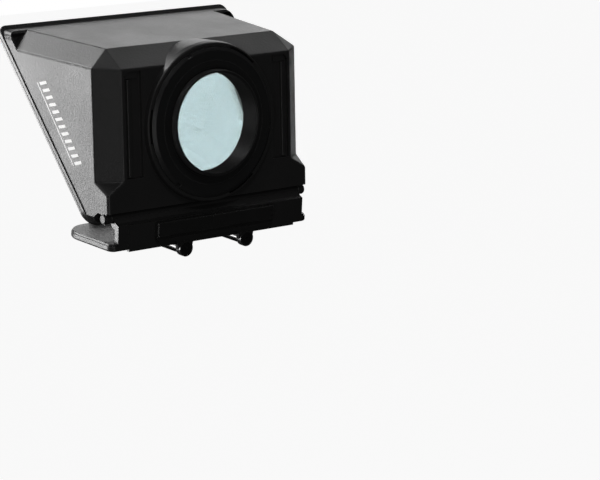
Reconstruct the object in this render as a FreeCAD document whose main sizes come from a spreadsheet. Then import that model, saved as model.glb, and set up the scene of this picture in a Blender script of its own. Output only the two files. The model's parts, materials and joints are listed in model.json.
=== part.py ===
import FreeCAD, Part
import math
import os
import re

import Sketcher
from FreeCAD import Placement, Rotation, Vector

# A smartphone teleprompter that hangs on a camera lens.
# +Z is up, +Y points back to the camera, -Y out through the glass, +X is the operator's left.
# The origin is the centre of the adapter ring's seat, where the lens's front rim stops.

# Driving dimensions, in millimetres and degrees.
SIZES = (
    ("seat_proud", 4.6, "adapter seat behind the hood's rear face"),
    ("hood_half", 68.5, "half width of the rear face"),
    ("flare", 0.118, "sideways flare of each side panel per unit of depth"),
    ("roof_rise", 0.10, "rise of the roof per unit of depth"),
    ("roof_z", 43.5, "roof height at its rear edge"),
    ("floor_z", -42.8, "underside at the rear face"),
    ("floor_run", 9.0, "depth of the level part of the floor"),
    ("bevel_back", 13.9, "depth of the bevel behind the roof"),
    ("bevel_low_z", 33.3, "lower edge of the rear bevel"),
    ("bevel_in", 12.4, "sideways run of the bevels beside the roof"),
    ("bevel_drop", 9.3, "drop of the bevels beside the roof"),
    ("facet_deep", 10.0, "corner facet, measured along the side panel"),
    ("facet_wide", 11.0, "corner facet, measured along the rear face"),
    ("facet_end_z", -26.4, "lower end of the corner facet"),
    ("facet_ramp", 6.9, "drop of the facet's ramp to the sharp corner"),
    ("wall", 2.2, "moulded wall"),
    ("rear_wall", 4.5, "moulded rear wall around the lens opening"),
    ("edge_r", 1.8, "rounding of the hood's outer edges"),
    ("rim_angle", 55.8, "slope of the glass from the horizontal"),
    ("rim_y", -15.7, "rim's lower edge, ahead of the rear face"),
    ("rim_z", -50.3, "rim's lower edge"),
    ("rim_high", 122.8, "rim's length up the slope"),
    ("rim_half_low", 70.75, "rim's half width at its lower edge"),
    ("rim_taper", 0.0661, "rim's half width gained per unit up the slope"),
    ("rim_corner", 9.0, "rim's lower corner radius"),
    ("rim_top_corner", 4.5, "rim's upper corner radius"),
    ("frame_deep", 6.6, "depth of the blocks that square the rim's upper corners"),
    ("frame_high", 20.0, "height of those blocks, down from the rim's top"),
    ("pocket_deep", 2.8, "depth of the pocket behind each block"),
    ("pocket_wide", 9.2, "length of the pocket across the hood"),
    ("pocket_high", 8.7, "length of the pocket down the rim"),
    ("pocket_wall", 2.1, "wall beside the pocket"),
    ("pocket_top", 8.0, "pocket's upper edge, down from the rim's top"),
    ("bezel_screw_in", 4.6, "bezel screws, in from the rim's outline"),
    ("rim_lip", 1.2, "flange standing proud of the panels"),
    ("flange_thick", 2.0, "flange seen around the rim"),
    ("land_thick", 4.5, "land inside the hood that carries the glass"),
    ("bezel_thick", 2.2, "front bezel"),
    ("bezel_window", 8.5, "width of the bezel around its window"),
    ("glass_inset", 6.7, "glass edge, in from the rim's outline"),
    ("glass_thick", 2.0, "beam splitter glass"),
    ("glass_gap", 0.15, "gap between glass and bezel"),
    ("gasket_thick", 0.5, "foam gasket behind the glass"),
    ("ledge_inset", 9.2, "inner edge of the glass ledge"),
    ("glass_clip", 6.5, "cut across the glass's upper corners, clear of the bevels"),
    ("collar_base_r", 43.9, "collar's outside, deep in the hood"),
    ("collar_rim_r", 43.3, "collar's outside at its rim"),
    ("collar_bore_r", 41.2, "collar's bore"),
    ("collar_proud", 3.2, "collar's rim behind the rear face"),
    ("collar_deep", 13.9, "collar's depth inside the hood"),
    ("channel_in", 44.8, "rear channel, inner edge"),
    ("channel_out", 56.0, "rear channel, outer edge"),
    ("channel_low_z", -25.5, "rear channel, lower end"),
    ("channel_high_z", 32.0, "rear channel, upper end"),
    ("channel_deep", 1.9, "rear channel, depth"),
    ("rail_in", 51.6, "rail in the channel, inner edge"),
    ("rail_out", 54.0, "rail in the channel, outer edge"),
    ("stop_in", 46.6, "stop block at the channel's top, inner edge"),
    ("stop_out", 55.0, "stop block at the channel's top, outer edge"),
    ("adapter_r", 40.9, "adapter ring's flange"),
    ("adapter_neck_r", 38.2, "adapter ring's neck through the bayonet ring"),
    ("adapter_tab_r", 39.9, "adapter ring's bayonet tabs"),
    ("adapter_bore_r", 27.2, "adapter ring's clear bore"),
    ("thread_r", 29.0, "male thread for a 58 mm lens"),
    ("thread_long", 4.0, "length of the male thread"),
    ("bayonet_in_r", 38.5, "bayonet ring's bore"),
    ("bayonet_notch_r", 40.1, "bayonet ring's entry notches"),
    ("seal_r", 34.0, "light seal's bore"),
    ("hinge_y", -5.0, "hinge axis, ahead of the rear face"),
    ("hinge_z", -45.9, "hinge axis"),
    ("hinge_r", 2.8, "hinge barrel"),
    ("pin_r", 1.5, "hinge pin"),
    ("ear_in", 64.9, "hood ear, inner face"),
    ("ear_out", 68.2, "hood ear, outer face"),
    ("pin_head", 0.9, "thickness of the hinge pin's head"),
    ("pin_in", 40.0, "hinge pin's inner end"),
    ("barrel_half", 64.4, "half length of the tray's hinge barrel"),
    ("tray_tilt", 5.0, "tray's rise towards the front"),
    ("tray_half", 68.2, "tray's half width"),
    ("tray_front", -39.5, "tray's front edge from the hinge axis"),
    ("tray_rear", 7.2, "tray's rear edge from the hinge axis"),
    ("tray_top", -12.7, "cover's top face from the hinge axis"),
    ("tray_bottom", -16.9, "shell's underside from the hinge axis"),
    ("tray_split", -13.9, "joint between cover and shell"),
    ("tray_corner", 15.0, "tray's front corner radius"),
    ("stop_half", 63.8, "half width of the upright stop wall"),
    ("stop_front", 4.2, "stop wall's front face"),
    ("stop_top", -3.0, "stop wall's top"),
    ("block_half", 57.0, "half width of the stop wall's thicker part"),
    ("block_rear", 8.0, "rear face of the thicker part"),
    ("stop_pad_half", 54.0, "half width of the foam on the stop wall"),
    ("grip_half", 36.0, "half width of the phone's rubber strips"),
    ("grip_wide", 4.0, "width of a rubber strip"),
    ("bracket_half", 40.0, "half width of the rod bracket"),
    ("bracket_rear", 11.2, "bracket's rear face"),
    ("bracket_top", -3.4, "bracket's top edge"),
    ("bracket_low", -14.6, "bracket's lower edge"),
    ("bracket_step", -11.4, "lower edge of the bracket's raised face"),
    ("bracket_screw_z", -8.6, "height of the bracket's screws"),
    ("rod_x", 21.0, "slide rods, from the middle"),
    ("rod_drop", -19.9, "slide rods, from the hinge axis"),
    ("tube_r", 3.5, "guide tube's outside"),
    ("tube_bore_r", 1.97, "guide tube's bore"),
    ("rod_r", 1.9, "slide rod's outside"),
    ("rod_bore_r", 1.35, "slide rod's bore"),
    ("saddle_r", 4.8, "saddle round each guide tube"),
    ("lug_r", 4.4, "bracket lug"),
    ("jaw_half", 46.0, "half width of the sliding jaw"),
    ("jaw_front", -44.5, "jaw's front face"),
    ("jaw_back", -40.3, "jaw's clamping face"),
    ("jaw_top", -4.5, "jaw's top edge"),
    ("jaw_bottom", -23.2, "jaw's lower edge"),
    ("jaw_pad_half", 42.0, "half width of the jaw's rubber"),
    ("tongue_half", 15.0, "half width of the jaw's tongue"),
    ("screw_r", 1.0, "shank of the small screws"),
    ("head_r", 1.9, "head of the small screws"),
    ("head_deep", 1.1, "counterbore for a small screw's head"),
)

REACH = 300.0   # a cut that must clear the whole part runs this far

doc = FreeCAD.newDocument("Teleprompter")
sheet = doc.addObject("Spreadsheet::Sheet", "Sizes")
for row, (alias, number, meaning) in enumerate(SIZES, start=1):
    sheet.set(f"A{row}", meaning)
    sheet.set(f"B{row}", str(number))
    sheet.setAlias(f"B{row}", alias)
doc.recompute()

ALIAS = re.compile(r"\b(" + "|".join(alias for alias, number, meaning in SIZES) + r")\b")
nodes = []


# ---- helpers: expressions, sketches and features ----

def bind(expression):
    """The expression with each size named in the sheet."""
    return ALIAS.sub(r"Sizes.\1", str(expression))


def value(expression):
    """The number an expression of sizes stands for."""
    return float(sheet.evalExpression(bind(expression)))


def minus(expression):
    return f"-({expression})"


def new_body(label, placement=Placement(), keep=True):
    """An empty body; one that is kept becomes a node of its own."""
    body = doc.addObject("PartDesign::Body", "Body_" + label)
    body.Label = label
    body.Placement = placement
    if keep:
        nodes.append(body)
    return body


def origin_plane(body, role):
    for feature in body.Origin.OriginFeatures:
        if feature.Role == role:
            return feature
    raise ValueError(role)


def fix_point(sketch, geometry, point, x, y):
    """Hold a point of a sketch at two expressions of sizes."""
    for kind, expression in (("DistanceX", x), ("DistanceY", y)):
        constraint = Sketcher.Constraint(kind, -1, 1, geometry, point, value(expression))
        index = sketch.addConstraint(constraint)
        sketch.setExpression(f"Constraints[{index}]", bind(expression))


def add_polygon(sketch, corners):
    first = sketch.GeometryCount
    count = len(corners)
    spots = [Vector(value(x), value(y), 0) for x, y in corners]
    for i in range(count):
        sketch.addGeometry(Part.LineSegment(spots[i], spots[(i + 1) % count]), False)
    for i in range(count):
        following = first + (i + 1) % count
        sketch.addConstraint(Sketcher.Constraint("Coincident", first + i, 2, following, 1))
    for i, (x, y) in enumerate(corners):
        fix_point(sketch, first + i, 1, x, y)


def add_circle(sketch, x, y, radius):
    circle = Part.Circle(Vector(value(x), value(y), 0), Vector(0, 0, 1), value(radius))
    geometry = sketch.addGeometry(circle, False)
    index = sketch.addConstraint(Sketcher.Constraint("Radius", geometry, value(radius)))
    sketch.setExpression(f"Constraints[{index}]", bind(radius))
    fix_point(sketch, geometry, 3, x, y)


def new_sketch(body, role="XY_Plane", height=0, offset=None, polygons=(), circles=()):
    """A sketch on an origin plane of the body, raised along the plane's normal."""
    sketch = body.newObject("Sketcher::SketchObject", "Sketch")
    sketch.AttachmentSupport = [(origin_plane(body, role), "")]
    sketch.MapMode = "FlatFace"
    if offset is not None:
        sketch.AttachmentOffset = offset
    elif height:
        sketch.setExpression("AttachmentOffset.Base.z", bind(height))
    for corners in polygons:
        add_polygon(sketch, corners)
    for x, y, radius in circles:
        add_circle(sketch, x, y, radius)
    return sketch


def finish_feature(feature, body, before):
    """Recompute, and stop when a feature changed nothing."""
    doc.recompute()
    if abs(body.Shape.Volume - before) < 1e-4:
        raise RuntimeError(f"{body.Label}: {feature.Name} changes nothing")
    return feature


def volume_of(body):
    return body.Shape.Volume if body.Tip is not None else 0.0


def extrude(kind, body, sketch, length, both=False, backwards=False):
    before = volume_of(body)
    feature = body.newObject("PartDesign::" + kind, kind)
    feature.Profile = sketch
    feature.setExpression("Length", bind(length))
    feature.Midplane = both
    feature.Reversed = backwards
    return finish_feature(feature, body, before)


def pad(body, sketch, length, **options):
    """Add material along the sketch's normal."""
    return extrude("Pad", body, sketch, length, **options)


def pocket(body, sketch, length, **options):
    """Remove material against the sketch's normal."""
    return extrude("Pocket", body, sketch, length, **options)


def revolve(kind, body, sketch, axis_role):
    before = volume_of(body)
    feature = body.newObject("PartDesign::" + kind, kind)
    feature.Profile = sketch
    feature.ReferenceAxis = (origin_plane(body, axis_role), [""])
    feature.Angle = 360
    return finish_feature(feature, body, before)


def round_edges(body, radius, test, kind="Fillet"):
    """Round or chamfer the edges of the body's tip that pass the test."""
    base = body.Tip
    names = []
    for i, edge in enumerate(base.Shape.Edges, start=1):
        if test(edge):
            names.append(f"Edge{i}")
    if not names:
        raise RuntimeError(f"{body.Label}: no edge to round")
    before = volume_of(body)
    feature = body.newObject("PartDesign::" + kind, kind)
    feature.Base = (base, names)
    feature.setExpression("Radius" if kind == "Fillet" else "Size", bind(radius))
    return finish_feature(feature, body, before)


def runs_along(direction):
    """A test for straight edges parallel to a direction."""
    def test(edge):
        if edge.Curve.TypeId != "Part::GeomLine":
            return False
        return abs(abs(edge.tangentAt(edge.FirstParameter).dot(direction)) - 1) < 1e-6
    return test


def both_tests(first, second):
    return lambda edge: first(edge) and second(edge)


def rectangle(x0, y0, x1, y1):
    return [(x0, y0), (x1, y0), (x1, y1), (x0, y1)]


def block(body, x0, x1, y0, y1, z0, z1, cut=False):
    """A box between two corners, added to a body or cut from it."""
    sketch = new_sketch(body, height=z1 if cut else z0, polygons=[rectangle(x0, y0, x1, y1)])
    length = f"({z1})-({z0})"
    return pocket(body, sketch, length) if cut else pad(body, sketch, length)


def bar_along_x(body, corners, x0, x1, cut=False):
    """A prism whose outline lies in the YZ plane, between two X positions."""
    sketch = new_sketch(body, "YZ_Plane", height=x1 if cut else x0, polygons=[corners])
    length = f"({x1})-({x0})"
    return pocket(body, sketch, length) if cut else pad(body, sketch, length)


def rods_along_x(body, circles, x0, x1, cut=False):
    sketch = new_sketch(body, "YZ_Plane", height=x1 if cut else x0, circles=circles)
    length = f"({x1})-({x0})"
    return pocket(body, sketch, length) if cut else pad(body, sketch, length)


def rods_along_y(body, circles, y0, y1, cut=False):
    """Round bars or holes along Y; each circle is X, Z and a radius."""
    height = minus(y1) if not cut else minus(y0)
    sketch = new_sketch(body, "XZ_Plane", height=height, circles=circles)
    length = f"({y1})-({y0})"
    return pocket(body, sketch, length) if cut else pad(body, sketch, length)


def rods_along_z(body, circles, z0, z1, cut=False):
    sketch = new_sketch(body, height=z1 if cut else z0, circles=circles)
    length = f"({z1})-({z0})"
    return pocket(body, sketch, length) if cut else pad(body, sketch, length)


def ring_about_y(label, placement, profile, keep=True):
    """A body of revolution about Y; the profile's corners are a radius and a Y position."""
    body = new_body(label, placement, keep)
    sketch = new_sketch(body, "XY_Plane", polygons=[profile])
    revolve("Revolution", body, sketch, "Y_Axis")
    return body


# ---- frames the sub-parts are drawn in ----

rear_face_y = -value("seat_proud")
hood_frame = Placement(Vector(0, rear_face_y, 0), Rotation())
rim_frame = Placement(
    Vector(0, value("rim_y") + rear_face_y, value("rim_z")),
    Rotation(Vector(1, 0, 0), 180 - value("rim_angle")),
)
tray_frame = Placement(
    Vector(0, value("hinge_y") + rear_face_y, value("hinge_z")),
    Rotation(Vector(1, 0, 0), -value("tray_tilt")),
)


# ---- hood shell ----

def plane_cut(body, point, outward, half_width=REACH, low=-REACH, high=REACH):
    """Remove everything beyond a plane; the cut can be limited across and along the plane."""
    inward = Vector(outward).normalize() * -1
    across = Vector(0, 0, 1).cross(inward)
    if across.Length < 1e-6:
        across = Vector(1, 0, 0)
    across.normalize()
    turn = Rotation(across, inward.cross(across), inward, "ZXY")
    sketch = new_sketch(
        body,
        offset=Placement(point, turn),
        polygons=[rectangle(-half_width, low, half_width, high)],
    )
    return pocket(body, sketch, REACH)


def hull(label, inset, rear_inset):
    """The closed form of the hood: the outside when the insets are zero, else the cavity."""
    size = {alias: value(alias) for alias, number, meaning in SIZES}
    slope = math.radians(size["rim_angle"])
    uphill = Vector(0, -math.cos(slope), math.sin(slope))
    outward = Vector(0, -math.sin(slope), -math.cos(slope))
    low_edge = Vector(0, size["rim_y"], size["rim_z"]) + uphill * size["rim_lip"]
    front_top = Vector(0, size["rim_y"], size["rim_z"]) + uphill * size["rim_high"]

    body = new_body(label, hood_frame, keep=False)
    beyond = 20.0    # the profile runs this far past the rim, and is then cut along it
    front_y = front_top.y - beyond
    roof_front = f"roof_z + roof_rise*({-front_y - size['bevel_back']:.6f})"
    profile = [
        ("0", "floor_z"),
        ("0", "bevel_low_z"),
        ("-bevel_back", "roof_z"),
        (front_y, roof_front),
        (low_edge.y - beyond, low_edge.z),
        (low_edge.y, low_edge.z),
        ("-floor_run", "floor_z"),
    ]
    outline = new_sketch(body, "YZ_Plane", polygons=[profile])
    pad(body, outline, 2 * REACH, both=True)

    # The corner where roof, side bevel and rear bevel meet, and the facet's upper corners.
    along = Vector(size["flare"], -1, size["roof_rise"])
    half_at_facet = size["hood_half"] + size["flare"] * size["facet_deep"]
    side_top = Vector(half_at_facet, -size["facet_deep"], size["bevel_low_z"] + 1.0)
    rear_top = Vector(size["hood_half"] - size["facet_wide"], 0, size["bevel_low_z"])
    roof_corner = Vector(side_top.x - size["bevel_in"], -size["bevel_back"], size["roof_z"])

    for side in (1, -1):
        def mirrored(vector):
            return Vector(side * vector.x, vector.y, vector.z)

        side_out = Vector(1, size["flare"], 0).normalize()
        bevel_out = along.cross(roof_corner - side_top).normalize()
        if bevel_out.z < 0:
            bevel_out = bevel_out * -1
        corner_out = (rear_top - side_top).cross(roof_corner - side_top).normalize()
        if corner_out.y < 0:
            corner_out = corner_out * -1
        facet_out = Vector(size["facet_deep"], side_top.x - rear_top.x, 0).normalize()
        side_point = Vector(size["hood_half"], 0, 0) - side_out * inset
        plane_cut(body, mirrored(side_point), mirrored(side_out))
        plane_cut(body, mirrored(side_top - bevel_out * inset), mirrored(bevel_out))
        plane_cut(body, mirrored(rear_top - corner_out * inset), mirrored(corner_out))
        if inset:
            plane_cut(body, mirrored(rear_top - facet_out * inset), mirrored(facet_out))
        else:
            corner_facet(body, side, mirrored(rear_top), mirrored(facet_out))
            low_corner = Vector(side_point.x, low_edge.y, low_edge.z)
            trim_low_corner(body, side, low_corner)
    if inset:
        plane_cut(body, Vector(0, -rear_inset, 0), Vector(0, 1, 0))
        plane_cut(body, Vector(0, 0, size["floor_z"] + inset), Vector(0, 0, -1))
        bevel_normal = Vector(0, size["roof_z"] - size["bevel_low_z"], size["bevel_back"]).normalize()
        plane_cut(body, Vector(0, 0, size["bevel_low_z"]) - bevel_normal * inset, bevel_normal)
        roof_normal = Vector(0, size["roof_rise"], 1).normalize()
        roof_point = Vector(0, -size["bevel_back"], size["roof_z"]) - roof_normal * inset
        plane_cut(body, roof_point, roof_normal)
        plane_cut(body, Vector(0, size["rim_y"], size["rim_z"]) - outward * size["land_thick"], outward)
    else:
        plane_cut(body, Vector(0, size["rim_y"], size["rim_z"]), outward)
    return body


def corner_facet(body, side, top, facet_out):
    """The upright facet at a rear corner, ending in a ramp down to the sharp corner."""
    run = Vector(0, 0, 1).cross(facet_out)
    turn = Rotation(facet_out, Vector(0, 0, 1), facet_out.cross(Vector(0, 0, 1)), "ZXY")
    corner_depth = (Vector(side * value("hood_half"), 0, 0) - Vector(top.x, top.y, 0)).dot(facet_out)
    steepness = value("facet_ramp") / corner_depth
    reach = 25.0
    outline = [
        ("0", "facet_end_z"),
        (reach, f"facet_end_z - {steepness * reach:.6f}"),
        (reach, "roof_z + 20"),
        ("0", "roof_z + 20"),
    ]
    place = Placement(Vector(top.x, top.y, 0), turn)
    sketch = new_sketch(body, offset=place, polygons=[outline])
    pocket(body, sketch, 2 * run.Length * reach, both=True)


def trim_low_corner(body, side, corner):
    """A flat across the low front corner, inside the rim's rounded corner."""
    cut = 4.8
    x = side * (corner.x + value("flare") * -corner.y)
    outline = [
        (x - side * cut, corner.z - 2),
        (x - side * cut, corner.z),
        (x, f"{corner.z + cut}"),
        (x + side * 3, f"{corner.z + cut}"),
        (x + side * 3, corner.z - 2),
    ]
    sketch = new_sketch(body, "XZ_Plane", height="floor_run", polygons=[outline])
    pocket(body, sketch, 25, backwards=True)


def rim_corners(inset, clip=None):
    """The rim's outline, drawn in by an inset, in the rim's own frame; a clip cuts its upper corners."""
    low = f"rim_half_low + rim_taper*({inset}) - ({inset})"
    high = f"rim_half_low + rim_taper*(rim_high - ({inset})) - ({inset})"
    top = f"rim_high - ({inset})"
    right = [(low, inset), (high, top)]
    if clip is not None:
        right = [(low, inset), (high, f"{top} - {clip}"), (f"{high} - {clip}", top)]
    return right + [(minus(x), y) for x, y in reversed(right)]


def rim_plate(label, inset, low, high, radius, top_radius=None, clip=None, keep=True):
    """A plate with the rim's rounded outline, between two distances out from the glass plane."""
    body = new_body(label, rim_frame, keep)
    sketch = new_sketch(body, height=low, polygons=[rim_corners(inset, clip)])
    pad(body, sketch, f"({high})-({low})")
    middle = value("rim_high/2")
    upright = runs_along(Vector(0, 0, 1))
    round_edges(body, radius, both_tests(upright, lambda edge: edge.CenterOfMass.y < middle))
    round_edges(body, top_radius or radius, both_tests(upright, lambda edge: edge.CenterOfMass.y > middle))
    return body


def in_rim_frame(point, normal):
    """A point and a direction of the hood, as the rim's own frame sees them."""
    to_rim = rim_frame.inverse().multiply(hood_frame)
    return to_rim.multVec(point), to_rim.Rotation.multVec(normal)


def in_hood_frame(point):
    """A point of the rim's frame, as the hood's frame sees it."""
    return hood_frame.inverse().multiply(rim_frame).multVec(point)


def corner_blocks():
    """Blocks that carry the side panels and the roof out to the rim's square upper corners."""
    body = new_body("corner_blocks", rim_frame, keep=False)
    half = "rim_half_low + rim_taper*rim_high"
    for side in ("-1", "1"):
        outline = [(f"{side}*({half} - frame_high)", "rim_high - frame_high"),
                   (f"{side}*({half} + 1)", "rim_high - frame_high"),
                   (f"{side}*({half} + 1)", "rim_high + 1"),
                   (f"{side}*({half} - frame_high)", "rim_high + 1")]
        sketch = new_sketch(body, height="-frame_deep", polygons=[outline])
        pad(body, sketch, "frame_deep")
    for side in (-1, 1):
        point = Vector(side * value("hood_half"), 0, 0)
        plane_cut(body, *in_rim_frame(point, Vector(side, value("flare"), 0)))
    roof = Vector(0, -value("bevel_back"), value("roof_z"))
    plane_cut(body, *in_rim_frame(roof, Vector(0, value("roof_rise"), 1)))
    deep = value("frame_deep") - 0.1
    far = value(f"{half} - 3")
    high = value("rim_high - 10")

    def on_corner(edge):
        middle = edge.CenterOfMass
        return edge.BoundBox.ZLength > deep and abs(middle.x) > far and middle.y > high
    round_edges(body, "rim_top_corner", on_corner)
    # A three-cornered pocket behind each block, open to the bevel.
    pocket_y = value("rim_high - pocket_top")
    panel_y = in_hood_frame(Vector(0, pocket_y, 0)).y
    outer = value("hood_half - pocket_wall") - value("flare") * panel_y
    for side in (-1, 1):
        corners = [
            (side * outer, pocket_y),
            (side * (outer - value("pocket_wide")), pocket_y),
            (side * outer, pocket_y - value("pocket_high")),
        ]
        sketch = new_sketch(body, height="-frame_deep", polygons=[corners])
        pocket(body, sketch, "pocket_deep", backwards=True)
    return body


def rim_window(body, inset, low, high, radius, clip):
    """A rounded window cut through a rim plate."""
    sketch = new_sketch(body, height=high, polygons=[rim_corners(inset, clip)])
    pocket(body, sketch, f"({high})-({low})")
    limit = value("rim_half_low") - value(inset) + 9

    def on_window(edge):
        middle = edge.CenterOfMass
        return abs(middle.x) < limit and value(inset) - 0.1 < middle.y < value(f"rim_high-({inset})") + 0.1
    sharp = runs_along(Vector(0, 0, 1))
    round_edges(body, radius, both_tests(sharp, on_window))


def bezel_screw_spots():
    """Centres of the bezel screws, in the rim's frame."""
    spots = []
    for x in ("-50", "0", "50"):
        spots.append((x, "bezel_screw_in"))
        spots.append((x, "rim_high - bezel_screw_in"))
    for side in ("-1", "1"):
        spots.append((f"{side}*(rim_half_low + rim_taper*rim_high/2 - bezel_screw_in)", "rim_high/2"))
    return spots


def csg(kind, name, label=None, **links):
    """A boolean of objects of the document."""
    result = doc.addObject("Part::" + kind, name)
    for key, target in links.items():
        setattr(result, key, target)
    if label is not None:
        result.Label = label
        nodes.append(result)
    doc.recompute()
    return result


def rear_channels():
    """Upright channels in the rear face, cut either side of the collar."""
    body = new_body("channel_tools", hood_frame, keep=False)
    for side in ("-1", "1"):
        outline = [
            (f"{side}*channel_in", "channel_low_z"),
            (f"{side}*channel_out", "channel_low_z"),
            (f"{side}*channel_out", "channel_high_z - 2.5"),
            (f"{side}*(channel_out - 2.5)", "channel_high_z"),
            (f"{side}*channel_in", "channel_high_z"),
        ]
        sketch = new_sketch(body, "XZ_Plane", height="-1", polygons=[outline])
        pad(body, sketch, "channel_deep + 1")
    return body


def channel_ribs():
    """The rounded rail and the stop block that stand in each channel."""
    body = new_body("channel_ribs", hood_frame, keep=False)
    for side in ("-1", "1"):
        rail = rectangle(f"{side}*rail_in", "channel_low_z + 1", f"{side}*rail_out", "channel_high_z - 4.5")
        sketch = new_sketch(body, "XZ_Plane", height="0.2", polygons=[rail])
        pad(body, sketch, "channel_deep + 0.3")
        stop = [
            (f"{side}*stop_in", "channel_high_z - 3.6"),
            (f"{side}*stop_out", "channel_high_z - 3.6"),
            (f"{side}*(stop_out - 1)", "channel_high_z + 0.5"),
            (f"{side}*stop_in", "channel_high_z + 0.5"),
        ]
        sketch = new_sketch(body, "XZ_Plane", height="1.0", polygons=[stop])
        pad(body, sketch, "channel_deep - 0.5")
    upright = runs_along(Vector(0, 0, 1))
    round_edges(body, "0.6", both_tests(upright, lambda edge: edge.CenterOfMass.y > -0.3))
    return body


def hinge_ears():
    """The hood's two ears that hold the hinge pins."""
    body = new_body("hinge_ears", hood_frame, keep=False)
    for low, high in (("ear_in", "ear_out"), ("-ear_out", "-ear_in")):
        rods_along_x(body, [("hinge_y", "hinge_z", "hinge_r + 0.1")], low, high)
        web = rectangle("hinge_y - 2.2", "hinge_z", "hinge_y + 2.2", "floor_z + 1.5")
        bar_along_x(body, web, low, high)
    return body


def hood_shell():
    outside = hull("hood_outside", 0, 0)
    slope = math.radians(value("rim_angle"))
    rim_normal = Vector(0, -math.sin(slope), -math.cos(slope))
    rim_point = Vector(0, value("rim_y"), value("rim_z"))
    lowest = value("floor_z") + 1.0

    def panel_edge(edge):
        """An edge between two panels that doesn't lie along the rim."""
        nearest = min((vertex.Point - rim_point).dot(rim_normal) for vertex in edge.Vertexes)
        return edge.Length > 3.0 and edge.CenterOfMass.z > lowest and nearest < -0.5
    round_edges(outside, "edge_r", panel_edge)

    cavity = hull("hood_cavity", value("wall"), value("rear_wall"))
    shell = csg("Cut", "HoodHollow", Base=outside, Tool=cavity)

    flange = rim_plate("hood_flange", "0", "-flange_thick", "0", "rim_corner", "rim_top_corner", keep=False)
    round_edges(flange, "0.4", lambda edge: edge.CenterOfMass.z < -value("flange_thick") + 0.01)
    collar = ring_about_y("hood_collar", hood_frame, [
        ("collar_bore_r", "-collar_deep"),
        ("collar_base_r", "-collar_deep"),
        ("collar_base_r", "0"),
        ("collar_rim_r", "collar_proud - 0.5"),
        ("collar_rim_r - 0.5", "collar_proud"),
        ("collar_bore_r", "collar_proud"),
    ], keep=False)

    plane_cut(collar, Vector(0, 0, value("floor_z")), Vector(0, 0, -1))
    for centre in (2, 122, 242):
        ring_sector(collar, "collar_bore_r - 1", "collar_bore_r + 1.1", centre, 13, "0.2", "collar_proud + 1",
                    cut=True)

    window = rim_plate("glass_window", "ledge_inset", "-land_thick - 3", "1", "2",
                       clip="glass_clip - 1", keep=False)
    rebate = rim_plate("glass_rebate", "glass_inset - 0.3", "-glass_gap - glass_thick - gasket_thick",
                       "1", "2.3", clip="glass_clip + 0.1", keep=False)
    opening = new_body("lens_opening", hood_frame, keep=False)
    rods_along_y(opening, [("0", "0", "collar_bore_r")], "-collar_deep - 1", "collar_proud + 1")
    pilots = new_body("bezel_pilots", rim_frame, keep=False)
    rods_along_z(pilots, [(x, y, "screw_r + 0.02") for x, y in bezel_screw_spots()], "-2.8", "1")
    pins = new_body("pin_holes", hood_frame, keep=False)
    rods_along_x(pins, [("hinge_y", "hinge_z", "pin_r + 0.02")], "-ear_out - 1", "ear_out + 1")

    bored = csg("Cut", "HoodBored", Base=shell, Tool=opening)
    windowed = csg("Cut", "HoodChannelled", Base=bored, Tool=rear_channels())
    additions = [flange, corner_blocks(), collar, channel_ribs(), hinge_ears()]
    joined = csg("MultiFuse", "HoodJoined", Shapes=[windowed] + additions)
    tools = csg("MultiFuse", "HoodTools", Shapes=[window, rebate, pilots, pins])
    return csg("Cut", "HoodShell", "hood_shell", Base=joined, Tool=tools)


# ---- front: bezel, glass and gasket ----

def front_bezel():
    body = rim_plate("front_bezel", "0", "0", "bezel_thick", "rim_corner", "rim_top_corner")
    round_edges(body, "0.45", lambda edge: True, kind="Chamfer")
    rim_window(body, "bezel_window", "0", "bezel_thick", "2", "glass_clip - 1")
    spots = bezel_screw_spots()
    rods_along_z(body, [(x, y, "screw_r + 0.15") for x, y in spots], "0", "bezel_thick", cut=True)
    rods_along_z(body, [(x, y, "head_r + 0.15") for x, y in spots], "bezel_thick - head_deep", "bezel_thick",
                 cut=True)


def beam_splitter_glass():
    body = rim_plate("beam_splitter_glass", "glass_inset", "-glass_gap - glass_thick", "-glass_gap", "2",
                     clip="glass_clip")
    round_edges(body, "0.25", lambda edge: True, kind="Chamfer")


def glass_gasket():
    low = "-glass_gap - glass_thick - gasket_thick"
    body = rim_plate("glass_gasket", "glass_inset + 0.1", low, "-glass_gap - glass_thick", "2",
                     clip="glass_clip")
    rim_window(body, "ledge_inset - 0.3", low, "-glass_gap - glass_thick", "2", "glass_clip - 1")


def small_screws(label, placement, spots, head_low, head_high, tip, head_radius="head_r"):
    """Round-headed screws along Z with a cross slot; the heads sit between two heights."""
    body = new_body(label, placement)
    rods_along_z(body, [(x, y, head_radius) for x, y in spots], head_low, head_high)
    head_is_up = value(head_high) > value(tip)
    shank_low, shank_high = (tip, head_low) if head_is_up else (head_high, tip)
    rods_along_z(body, [(x, y, "screw_r") for x, y in spots], shank_low, shank_high)
    slot_low, slot_high = (head_low, f"({head_low})+0.5")
    if head_is_up:
        slot_low, slot_high = (f"({head_high})-0.5", head_high)
    long, short = 1.1, 0.22
    for x, y in spots:
        for wide, high in ((long, short), (short, long)):
            block(body, f"({x})-{wide}", f"({x})+{wide}", f"({y})-{high}", f"({y})+{high}",
                  slot_low, slot_high, cut=True)
    return body


def bezel_screws():
    small_screws("bezel_screws", rim_frame, bezel_screw_spots(),
                 "bezel_thick - head_deep", "bezel_thick - 0.1", "-2.6")


# ---- lens side: bayonet ring, adapter ring and light seal ----

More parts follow.
